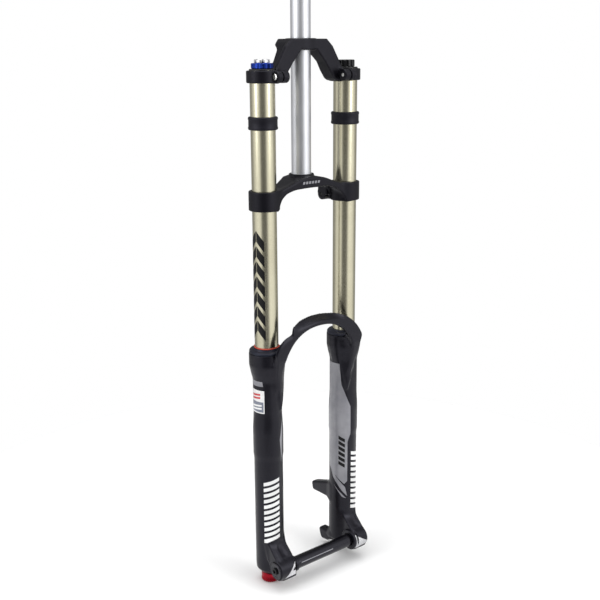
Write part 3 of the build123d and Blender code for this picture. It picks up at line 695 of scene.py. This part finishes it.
# ---- castings and crowns
fine_voxel = 0.9
CASTING_FACES, CROWN_FACES = 190000, 120000
LEGS_BLOCKS = [((-102, -66, -624), (-44, 56, -198)), ((44, -66, -624), (102, 56, -198)),
               ((-46, -52, -330), (46, -22, -198))]
LOWER_CROWN_BLOCKS = [((-101, -36, -47), (101, 24, 6))]
UPPER_CROWN_BLOCKS = [((-100, -44, 130), (100, 32, 195))]
add_field_piece("lower_legs_casting", lower_legs_shape, LEGS_BLOCKS, fine_voxel, CASTING_FACES, LOWERS_BLACK,
                "lowers", "lowers_black", "lower_legs")
add_field_piece("lower_crown_forging", lower_crown_shape, LOWER_CROWN_BLOCKS, fine_voxel, CROWN_FACES,
                CROWN_BLACK, "uppers", "crown_black", "lower_crown")
add_field_piece("upper_crown_forging", upper_crown_shape, UPPER_CROWN_BLOCKS, fine_voxel, CROWN_FACES,
                CROWN_BLACK, "uppers", "crown_black", "upper_crown")


# ---- surfaces of revolution, knobs and bolts
def upright(name, side, rings, material, body, slot, *replaced, steps=96, hollow=True):
    """Piece turned or stacked about a leg's axis."""
    place = (SIDES[side] * LEG_X, LEG_Y, 0)
    return add_stack(name, rings, material, body, slot, *replaced, offset=place, steps=steps, hollow=hollow)


def rounded(radius, height, fillet, start, end, steps=5):
    """Rings of a rounded edge that turns from one direction to another, in quarter turns."""
    angles = [radians(90 * (start + (end - start) * i / steps)) for i in range(steps + 1)]
    return [ring(radius + fillet * cos(angle), height + fillet * sin(angle)) for angle in angles]


def frame_bumper(side):
    """Rubber ring with round lips and a shallow channel around its middle."""
    node = f"frame_bumper_{side}"
    outer, bottom, top = round_size(node)
    inner = STANCHION_RADIUS
    fillet = 2.0
    rings = turned((inner, bottom + 0.6), (inner + 0.6, bottom))
    rings += rounded(outer - fillet, bottom + fillet, fillet, -1, 0)
    middle = (bottom + top) / 2
    rings += turned((outer, middle - 5.4), (outer - 0.5, middle - 4.6), (outer - 0.5, middle + 4.6),
                    (outer, middle + 5.4))
    rings += rounded(outer - fillet, top - fillet, fillet, 0, 1)
    rings += turned((inner + 0.6, top), (inner, top - 0.6))
    upright(f"bumper_ring_{side}", side, rings, RUBBER_BLACK, "uppers", "rubber_black", node)


def wiper_seal(side):
    """Wiper with a shouldered flange, a spring groove and a thin lip on the stanchion."""
    node = f"wiper_seal_{side}"
    flange, bottom, top = round_size(node)
    inner = STANCHION_RADIUS + 0.05
    rings = turned((inner + 0.4, bottom), (SEAL_BORE, bottom), (SEAL_BORE, top - 7.8),
                   (flange - 0.5, top - 7.8), (flange, top - 7.3), (flange, top - 4.9),
                   (flange - 0.4, top - 4.4), (24.6, top - 3.2), (22.0, top - 2.6), (21.4, top - 2.9),
                   (20.6, top - 2.6), (19.6, top - 0.7), (19.2, top - 0.1), (inner + 0.5, top),
                   (inner, top - 0.5), (inner + 0.7, top - 4.0))
    upright(f"wiper_{side}", side, rings, WIPER_RUBBER, "lowers", "rubber_black", node)


def travel_ring():
    outer, bottom, top = round_size("travel_o_ring")
    inner = STANCHION_RADIUS + 0.05
    rings = []
    for i in range(16):
        angle = 2 * pi * i / 16
        radius = (outer + inner) / 2 + (outer - inner) / 2 * cos(angle)
        rings.append(ring(radius, (bottom + top) / 2 + (top - bottom) / 2 * sin(angle)))
    upright("travel_ring", "right", rings, RING_RED, "lowers", "ring_red", "travel_o_ring")


def compression_knobs():
    """Blue knob with eight lobes and a dished top, and the silver six-lobed knob in its middle."""
    radius, bottom, top = round_size("high_speed_compression_knob")
    edge, bore, face = 0.7, 6.1, top - 0.5

    def blue(inset, height):
        return fluted_ring(radius + inset, 8, 2.0, height, 2.0)

    rings = [ring(bore, bottom), blue(-edge, bottom), blue(0, bottom + edge), blue(0, top - edge),
             blue(-edge, top), blue(-edge - 1.4, top), blue(-edge - 1.8, face), ring(bore, face)]
    upright("blue_knob", "right", rings, KNOB_BLUE, "high_speed_knob", "knob_blue",
            "high_speed_compression_knob", steps=192)
    outer, bottom, top = round_size("low_speed_compression_knob")
    lobes_low = top - 4.6

    def silver(inset, height):
        return fluted_ring(outer + inset, 6, 3.6, height, 7.0)

    rings = [ring(3.0, bottom), ring(3.0, lobes_low), silver(-0.6, lobes_low), silver(0, lobes_low + 0.6),
             silver(0, top - 0.8), silver(-0.8, top), ring(4.0, top)]
    rings += hexagons((2.2, top - 0.3), (2.2, top - 3.0))
    upright("silver_knob", "right", rings, BARE_ALUMINIUM, "low_speed_knob", "knob_silver",
            "low_speed_compression_knob", steps=180, hollow=False)


def cap_body(low):
    """Rings of a top cap from its end up to the flange's lower edge, and the height of the flange's top."""
    flange = low + 23.6
    rings = turned((15.1, low), (15.5, low + 0.4), (15.5, flange - 1.1), (17.55, flange - 1.1),
                   (17.55, flange - 2.05), (18.0, flange - 2.05))
    return rings, flange


def damper_cap():
    """Threaded cap under the knobs, with a knurled flange and the stem that the blue knob turns on."""
    _, bottom, top = round_size("damper_top_cap")
    body, flange = cap_body(bottom)
    rings = turned((3.1, bottom)) + body
    rings += [fluted_ring(18.0, 36, 0.4, flange - 0.8), fluted_ring(17.8, 36, 0.4, flange - 0.3),
              fluted_ring(17.4, 36, 0.4, flange)]
    rings += turned((8.0, flange), (6.0, flange), (6.0, top - 0.3), (5.7, top), (3.1, top))
    upright("damper_cap", "right", rings, BLACK_STEEL, "uppers", "cap_black", "damper_top_cap", steps=216)


def spring_cap():
    """Twelve-sided cap with a notched rim and a hex socket."""
    _, bottom, top = round_size("spring_top_cap")
    body, flange = cap_body(bottom)
    rings = body + turned((17.8, flange - 0.3), (17.4, flange), (13.0, flange), (12.6, flange + 0.5))
    rings += [fluted_ring(13.4, 12, 1.9, flange + 1.2, 2.0), fluted_ring(13.4, 12, 1.9, top - 1.0, 2.0),
              fluted_ring(12.6, 12, 1.5, top, 2.0), ring(8.6, top), ring(8.3, top - 0.4)]
    rings += hexagons((7.4, top - 0.6), (7.0, top - 1.0), (7.0, top - 5.0))
    upright("spring_cap", "left", rings, BLACK_STEEL, "uppers", "cap_black", "spring_top_cap", steps=180,
            hollow=False)


def bolt_rings(length):
    """Socket-head bolt along +Z, its head's face at zero."""
    head = BOLT_HEAD
    socket = hexagons((2.9, 3.0), (2.9, 0.3), (3.2, 0))
    return socket + turned((head - 0.5, 0), (head - 0.15, 0.15), (head, 0.5), (head, BOLT_HEAD_HEIGHT),
                           (BOLT_SHANK, BOLT_HEAD_HEIGHT), (BOLT_SHANK, length - 0.6),
                           (BOLT_SHANK - 0.6, length))


def pinch_bolts(name, node, inner, proud, material, slot):
    """Both pinch bolts of a crown, their heads outboard; proud is how far they stand past the CAD's."""
    y, z = middle(node)[1:]
    start = box(node)[1][0]
    meshes = []
    for side, sign in SIDES.items():
        turn = TOWARDS_RIGHT if sign > 0 else TOWARDS_LEFT
        meshes.append(stack_mesh(f"{name}_{side}", bolt_rings(start + proud - inner - 0.6), turn,
                                 Vector((sign * (start + proud), y, z)), 72, False))
    merged(name, meshes, material, "uppers", slot, node)


def stem_bolt():
    half = STEM_BARREL[3]
    place = (-half, *middle("steerer_clamp_bolt")[1:])
    add_stack("stem_bolt", bolt_rings(2 * half - 1), BLACK_STEEL, "uppers", "bolt_black",
              "steerer_clamp_bolt", turn=TOWARDS_LEFT, offset=place, steps=72)


def rebound_knob():
    """Red knob with a grooved grip, hollow above around the foot bolt."""
    radius, bottom, top = round_size("rebound_knob")

    def grip(inset, height):
        return fluted_ring(radius + inset, 24, 0.7, height, 1.0)

    rings = turned((1.6, bottom + 0.4), (8.5, bottom + 0.4), (9.0, bottom))
    rings += [grip(-1.2, bottom), grip(-0.3, bottom + 0.5), grip(0, bottom + 1.2), grip(0, bottom + 4.2),
              grip(-0.5, bottom + 4.7)]
    rings += turned((radius - 1.4, bottom + 4.8), (radius - 1.4, bottom + 5.6), (radius - 0.6, bottom + 5.8),
                    (radius - 0.2, bottom + 6.3), (radius - 0.2, top - 0.8), (radius - 1.0, top), (8.4, top),
                    (8.0, top - 0.4), (8.0, top - 7.6), (1.6, top - 7.6))
    upright("red_knob", "right", rings, KNOB_RED, "rebound_adjuster", "knob_red", "rebound_knob", steps=240)


FOOT_BOLT_BORE, NO_BORE = 2.0, 0.01
UPPER_BOLTS_PROUD = 2.6


def foot_bolt(side, bore):
    """Hex bolt with a washer face, drilled through on the damper side."""
    node = f"foot_bolt_{side}"
    _, bottom, top = round_size(node)
    shoulder, radius = bottom + 6.0, 7.0
    rings = turned((bore, bottom + 0.2), (5.4, bottom))
    rings += hexagons((radius - 0.9, bottom), (radius, bottom + 0.6), (radius, shoulder - 0.8))
    rings += turned((radius - 0.3, shoulder - 0.8), (radius - 0.3, shoulder), (4.0, shoulder),
                    (4.0, top - 0.6), (3.4, top), (bore, top))
    upright(f"foot_screw_{side}", side, rings, BLACK_STEEL, "lowers", "bolt_black", node, steps=72)


def axle():
    """Hollow axle with a shouldered head, a light ring around its socket and a chamfered thread end."""
    low, high = box("through_axle")
    length = high[0] - low[0]
    head = 13.8
    rings = turned((5.45, 24), (5.45, 0.9), (5.9, 0.5), (8.6, 0.5), (9.0, 0.1), (11.6, 0.0), (12.0, 0.35),
                   (12.6, 0.35), (13.0, 0.0), (head - 0.5, 0), (head, 0.4), (head, 1.6), (AXLE_RADIUS, 1.6),
                   (AXLE_RADIUS, length - 1.2), (AXLE_RADIUS - 1.2, length), (7.0, length), (7.0, 24))
    add_stack("axle_tube", rings, AXLE_BLACK, "axle", "axle_black", "through_axle", turn=TOWARDS_LEFT,
              offset=(low[0], AXLE_Y, AXLE_Z), hollow=True)


def axle_expander():
    low, high = box("axle_expander_bolt")
    length = high[0] - low[0]
    rings = hexagons((3.4, 6), (3.4, 0.5), (3.8, 0.2))
    rings += turned((4.8, 0.2), (5.4, 0.6), (5.4, length - 0.4), (5.0, length))
    add_stack("expander_screw", rings, BLACK_STEEL, "axle_expander", "expander_black", "axle_expander_bolt",
              turn=TOWARDS_LEFT, offset=(low[0], AXLE_Y, AXLE_Z), steps=72)


for side in SIDES:
    frame_bumper(side)
    wiper_seal(side)
travel_ring()
compression_knobs()
damper_cap()
spring_cap()
pinch_bolts("lower_crown_screws", "lower_crown_pinch_bolts", LOWER_BARREL[3], 0.0, BLACK_STEEL,
            "bolt_black")
pinch_bolts("upper_crown_screws", "upper_crown_pinch_bolts", UPPER_BARREL[3], UPPER_BOLTS_PROUD,
            BOLT_STEEL, "bolt_silver")
stem_bolt()
rebound_knob()
foot_bolt("right", FOOT_BOLT_BORE)
foot_bolt("left", NO_BORE)
axle()
axle_expander()


# ---- graphics and one painted highlight: thin closed stickers laid on the surfaces
STICKER_GAP, STICKER_THICKNESS, STICKER_CELL = 0.16, 0.12, 2.0
LAYER = 0.16
MARCH_STEPS, RAY_START, FRONT_PLANE = 40, 40, -80.0


def sticker(name, outlines, place, shape, material, body, slot):
    """Flat outlines cut into small cells and laid on a surface; place gives each point's ray."""
    mesh = bmesh.new()
    for points in outlines:
        mesh.faces.new([mesh.verts.new((u, v, 0)) for u, v in points])
    corners = np.array([point for points in outlines for point in points])
    for axis, normal in enumerate(((1, 0, 0), (0, 1, 0))):
        first, last = corners[:, axis].min() + STICKER_CELL, corners[:, axis].max()
        for position in np.arange(first, last, STICKER_CELL):
            geometry = mesh.verts[:] + mesh.edges[:] + mesh.faces[:]
            middle = tuple(position * component for component in normal)
            bmesh.ops.bisect_plane(mesh, geom=geometry, plane_co=middle, plane_no=normal)
    flat = np.array([vertex.co for vertex in mesh.verts])
    origins, inward = place(flat[:, 0], flat[:, 1])
    travelled = np.zeros(len(flat))
    for _ in range(MARCH_STEPS):
        travelled += shape(*(origins + inward * travelled[:, None]).T) - STICKER_GAP
    points = (origins + inward * travelled[:, None]) * MM
    for vertex, point in zip(mesh.verts, points):
        vertex.co = point
    bmesh.ops.triangulate(mesh, faces=[face for face in mesh.faces if len(face.verts) > 4])
    mesh.normal_update()
    outwards = -inward.mean(axis=0)
    if sum((face.normal * face.calc_area() for face in mesh.faces), Vector()).dot(Vector(outwards)) < 0:
        bmesh.ops.reverse_faces(mesh, faces=mesh.faces)
    bmesh.ops.solidify(mesh, geom=mesh.faces, thickness=STICKER_THICKNESS * MM)
    return add_piece(name, finished(mesh, name), material, body, slot)


def around_leg(side):
    """Rays towards a leg's axis; u is degrees from forward towards +X, v a height above the axle."""
    def place(u, v):
        angle = np.radians(u)
        outward = np.stack([np.sin(angle), -np.cos(angle), np.zeros(len(u))], axis=1)
        centre_x = np.full(len(u), SIDES[side] * LEG_X)
        centre = np.stack([centre_x, np.full(len(u), LEG_Y), v + AXLE_Z], axis=1)
        return centre + outward * RAY_START, -outward
    return place


def from_front(u, v):
    """Rays straight back; u is X and v a row height."""
    inward = np.tile(np.array([0.0, 1.0, 0.0]), (len(u), 1))
    return np.stack([u, np.full(len(u), FRONT_PLANE), v], axis=1), inward


def stanchion_shape(x, y, z):
    return np.hypot(np.abs(x) - LEG_X, y - LEG_Y) - STANCHION_RADIUS


def axle_shape(x, y, z):
    return np.hypot(y - AXLE_Y, z - AXLE_Z) - AXLE_RADIUS


def slanted_bars(left, right, low, high, count, fill, lean):
    """Column of slanted bars between two edges; lean lifts each bar's right end."""
    pitch = (high - low - abs(lean)) / count
    thick = pitch * fill
    bars = []
    for i in range(count):
        base = low + i * pitch - min(lean, 0)
        bars.append([(left, base), (right, base + lean), (right, base + lean + thick), (left, base + thick)])
    return bars


def lifted(shape, lift):
    return lambda x, y, z: shape(x, y, z) - lift


def leg_sticker(name, outlines, side, material, layer=0):
    """Sticker on a leg of the casting; a higher layer lies over a lower one."""
    sticker(name, outlines, around_leg(side), lifted(lower_legs_shape, layer * LAYER), material, "lowers",
            "lowers_black")


LEG_BARS = {"right": (-58, 8, 7), "left": (-4, 50, -7)}
for side, (left, right, lean) in LEG_BARS.items():
    leg_sticker(f"leg_bars_{side}", slanted_bars(left, right, 38, 150, 11, 0.60, lean), side, DECAL_WHITE)

NOSE_FACETS = {"right": [(-65, 11), (-61.4, 9.5), (-61.4, -11), (-86, -12.6), (-75, 1)],
               "left": [(61.2, 10.5), (84, -4.5), (83.6, -9), (61.2, -12.4)]}
for side, points in NOSE_FACETS.items():
    sticker(f"nose_facet_{side}", [[(x, AXLE_Z + height) for x, height in points]], from_front,
            lower_legs_shape, NOSE_SILVER, "lowers", "lowers_black")

PANEL = [(-116, 297), (-55, 297.7), (-48, 262), (-10, 225), (-9, 177), (-21, 164), (-21, 95), (-34, 90),
         (-112, 118)]
SWOOSH_HIGH = [(-101, 116), (-30, 84), (-21, 68), (-43, 77.6), (-86, 101)]
SWOOSH_LOW = [(-80, 87), (-25, 64), (-43, 67)]
TALL_STRIPE = [(31, 240), (12, 207), (22, 170)]
SMALL_PLATE = [(-112, 302), (-56, 302), (-54, 294.5), (-112, 294)]
PLATE = [(-114, 288), (-49, 288), (-49, 252), (-114, 252)]
PLATE_LOW_HALF = [(-112, 270), (-53, 270), (-53, 254), (-112, 254)]
leg_sticker("panel_left", [PANEL], "left", DECAL_GREY)
leg_sticker("swooshes_left", [SWOOSH_HIGH, SWOOSH_LOW], "left", DECAL_GREY)
leg_sticker("panel_bars_left", slanted_bars(-59, -32, 119, 178, 6, 0.66, -6), "left", DECAL_DARK, 1)
leg_sticker("tall_stripe_right", [TALL_STRIPE], "right", DECAL_GREY)
leg_sticker("small_plate_right", [SMALL_PLATE], "right", DECAL_GREY)
leg_sticker("plate_right", [PLATE], "right", DECAL_WHITE)
leg_sticker("plate_low_half_right", [PLATE_LOW_HALF], "right", DECAL_STEEL, 1)
leg_sticker("plate_red_bars_right", slanted_bars(-108, -66, 273, 285, 2, 0.6, 2), "right", DECAL_RED, 1)
leg_sticker("plate_white_bars_right", slanted_bars(-108, -60, 256.5, 268, 2, 0.55, 2), "right",
            DECAL_WHITE, 2)

STANCHION_BARS = slanted_bars(-122, -83, 364, 533, 7, 0.68, 15)
STANCHION_BARS += slanted_bars(-80, -40, 364, 533, 7, 0.68, -15)
CROWN_BARS = [[(left, -9.6), (left + 3.6, -9.6), (left + 4.6, -6.0), (left + 1.0, -6.0)]
              for left in np.arange(-19, 12, 5.4)]
# Grey strip along the top of the axle: a painted highlight, not print.
AXLE_PAINTED_HIGHLIGHT = [(-50, AXLE_Z + 2.6), (14, AXLE_Z + 2.6), (15, AXLE_Z + 3.8), (-49, AXLE_Z + 3.8)]
sticker("stanchion_bars_right", STANCHION_BARS, around_leg("right"), stanchion_shape, DECAL_DARK, "uppers",
        "stanchion_gold")
sticker("crown_bars", CROWN_BARS, from_front, lower_crown_shape, DECAL_GREY, "uppers", "crown_black")
sticker("axle_painted_highlight", [AXLE_PAINTED_HIGHLIGHT], from_front, axle_shape, DECAL_GREY, "axle", "axle_black")


# ---- finishes of the CAD nodes that stay
CAD_FINISHES = {
    STEERER_SILVER: ["steerer_tube"],
    STANCHION_GOLD: ["stanchion_right", "stanchion_left"],
    FOAM_GREY: ["foam_ring_right", "foam_ring_left"],
    BUSHING_BRONZE: ["upper_bushing_right", "upper_bushing_left", "lower_bushing_right",
                     "lower_bushing_left"],
    SPRING_STEEL: ["coil_spring"],
    INNER_PLASTIC: ["preload_spacer", "spring_plunger", "bottom_out_bumpers", "top_out_bumpers"],
    BLACK_STEEL: ["stanchion_retaining_rings", "crush_washers"],
    BARE_ALUMINIUM: ["compression_damper", "damper_seal_head", "spring_base_plate", "rebound_shaft",
                     "rebound_piston", "spring_shaft", "rebound_adjuster_rod"],
}
for finish, nodes in CAD_FINISHES.items():
    for node in nodes:
        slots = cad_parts[node].data.materials
        slots.clear()
        slots.append(finish)


# ---- stage, lights and camera
FLOOR_RADIUS = 0.75


def add_floor():
    """Pale round floor just under the object."""
    ground = cad_bounds[0][2] - 0.001
    mesh = bmesh.new()
    bmesh.ops.create_circle(mesh, cap_ends=True, radius=FLOOR_RADIUS, segments=128,
                            matrix=Matrix.Translation((0, 0, ground)))
    data = bpy.data.meshes.new("floor")
    mesh.to_mesh(data)
    mesh.free()
    material, shader, place = new_material("pale_floor", (0.95, 0.95, 0.95), 0.8)
    tone = spread(material, noise(material, place, 3.0), 0, 1)
    link(material, shade(material, tone, (0.94, 0.94, 0.94), (0.96, 0.96, 0.96)), shader.inputs["Base Color"])
    shader.inputs["Specular IOR Level"].default_value = 0.1
    data.materials.append(material)
    floor = bpy.data.objects.new("floor", data)
    into_scene(floor)


# Each softbox's turn and elevation in degrees, distance and size in metres, and power in watts.
SOFTBOXES = {"softbox_left": (-60, 25, 1.9, (0.7, 1.6), 10),
             "softbox_right": (60, 25, 1.9, (0.7, 1.6), 10),
             "softbox_top": (20, 84, 2.2, (2.2, 2.2), 36)}


def add_softbox(name, turn, elevation, distance, size, power):
    """Area light aimed at the middle of the object, turned from the camera's side around the fork."""
    low, high = (Vector(corner) for corner in cad_bounds)
    heading = CAMERA_HEADING + radians(turn)
    away = Vector((cos(heading) * cos(radians(elevation)), sin(heading) * cos(radians(elevation)),
                   sin(radians(elevation))))
    light = bpy.data.lights.new(name, "AREA")
    light.shape = "RECTANGLE"
    light.size, light.size_y = size
    light.energy = power
    lamp = bpy.data.objects.new(name, light)
    lamp.location = (low + high) / 2 + away * distance
    lamp.rotation_euler = away.to_track_quat("Z", "Y").to_euler()
    lamp.visible_camera = False
    into_scene(lamp)


CAMERA_PLACE = Vector((-0.8262, -1.0422, 0.1827))
CAMERA_FORWARD = Vector((0.5964, 0.7560, -0.2698))
CAMERA_ROLL = radians(-0.37)
CAMERA_LENS = 54.64
CAMERA_HEADING = atan2(-CAMERA_FORWARD.y, -CAMERA_FORWARD.x)
# Brightness of the studio walls around the fork, from the camera's side anticlockwise as a share of a turn.
WALLS = [(0.00, 0.17), (0.05, 0.20), (0.12, 1.25), (0.24, 1.15), (0.33, 0.42), (0.50, 0.30), (0.68, 0.42),
         (0.76, 1.0), (0.90, 1.1), (0.945, 0.22), (1.0, 0.17)]


def add_camera():
    forward = CAMERA_FORWARD.normalized()
    across = forward.cross(Vector((0, 0, 1))).normalized()
    upwards = across.cross(forward)
    right = cos(CAMERA_ROLL) * across + sin(CAMERA_ROLL) * upwards
    top = cos(CAMERA_ROLL) * upwards - sin(CAMERA_ROLL) * across
    data = bpy.data.cameras.new("camera")
    data.lens = CAMERA_LENS
    data.sensor_width = 36.0
    data.clip_end = 100.0
    camera = bpy.data.objects.new("camera", data)
    turn = Matrix((right, top, -forward)).transposed().to_4x4()
    camera.matrix_world = Matrix.Translation(CAMERA_PLACE) @ turn
    into_scene(camera)
    bpy.context.scene.camera = camera


def add_world():
    """White surroundings, with light and dark studio walls for the metal to reflect."""
    world = bpy.data.worlds.new("studio")
    world.use_nodes = True
    tree = world.node_tree
    new_node = tree.nodes.new
    white = tree.nodes["Background"]
    white.inputs["Color"].default_value = (1, 1, 1, 1)
    white.inputs["Strength"].default_value = 1.0
    place = new_node("ShaderNodeTexCoord")
    rotated = new_node("ShaderNodeMapping")
    rotated.inputs["Rotation"].default_value = (0, 0, pi - CAMERA_HEADING)
    around = new_node("ShaderNodeTexGradient")
    around.gradient_type = "RADIAL"
    walls = new_node("ShaderNodeValToRGB")
    walls.color_ramp.interpolation = "EASE"
    stops = walls.color_ramp.elements
    while len(stops) < len(WALLS):
        stops.new(0.5)
    for stop, (position, brightness) in zip(stops, WALLS):
        stop.position = position
        stop.color = (brightness, brightness, brightness, 1)
    studio = new_node("ShaderNodeBackground")
    path = new_node("ShaderNodeLightPath")
    mixer = new_node("ShaderNodeMixShader")
    links = [(place.outputs["Generated"], rotated.inputs["Vector"]),
             (rotated.outputs["Vector"], around.inputs["Vector"]),
             (around.outputs["Fac"], walls.inputs["Fac"]),
             (walls.outputs["Color"], studio.inputs["Color"]),
             (path.outputs["Is Camera Ray"], mixer.inputs["Fac"]),
             (studio.outputs["Background"], mixer.inputs[1]),
             (white.outputs["Background"], mixer.inputs[2]),
             (mixer.outputs["Shader"], tree.nodes["World Output"].inputs["Surface"])]
    for source, target in links:
        tree.links.new(source, target)
    bpy.context.scene.world = world


bpy.context.scene.view_settings.view_transform = "Standard"
add_floor()
add_world()
for name, settings in SOFTBOXES.items():
    add_softbox(name, *settings)
add_camera()
